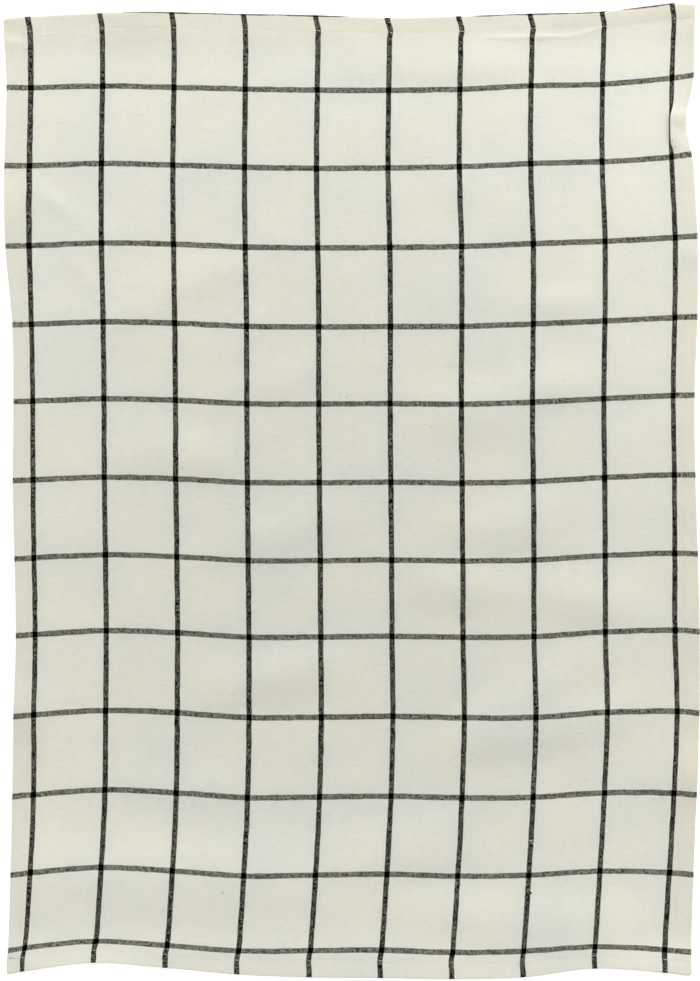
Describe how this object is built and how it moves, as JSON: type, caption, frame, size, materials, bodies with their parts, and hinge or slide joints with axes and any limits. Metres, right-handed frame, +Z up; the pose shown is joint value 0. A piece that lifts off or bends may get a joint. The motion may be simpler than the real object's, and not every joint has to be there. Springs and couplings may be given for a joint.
{
  "type": "tea towel",
  "caption": "Flat rectangular tea towel of plain-woven cloth with a windowpane check and turned hems, laid out with soft ripples and a small tuck at one side.",
  "frame": {"origin": "middle of the towel's outline, at the surface it lies on", "axes": "+Y along the towel's length, from the bottom hem to the top hem as it is shown; +X along its width, towards the side with the tuck; +Z up, out of the face side of the cloth"},
  "size_m": [0.5074, 0.7102, 0.0049],
  "materials": {
    "woven_cloth": "matt plain weave of cotton and linen, off-white with charcoal stripes"
  },
  "bodies": {
    "root": {"towel": "woven_cloth"}
  },
  "joints": []
}
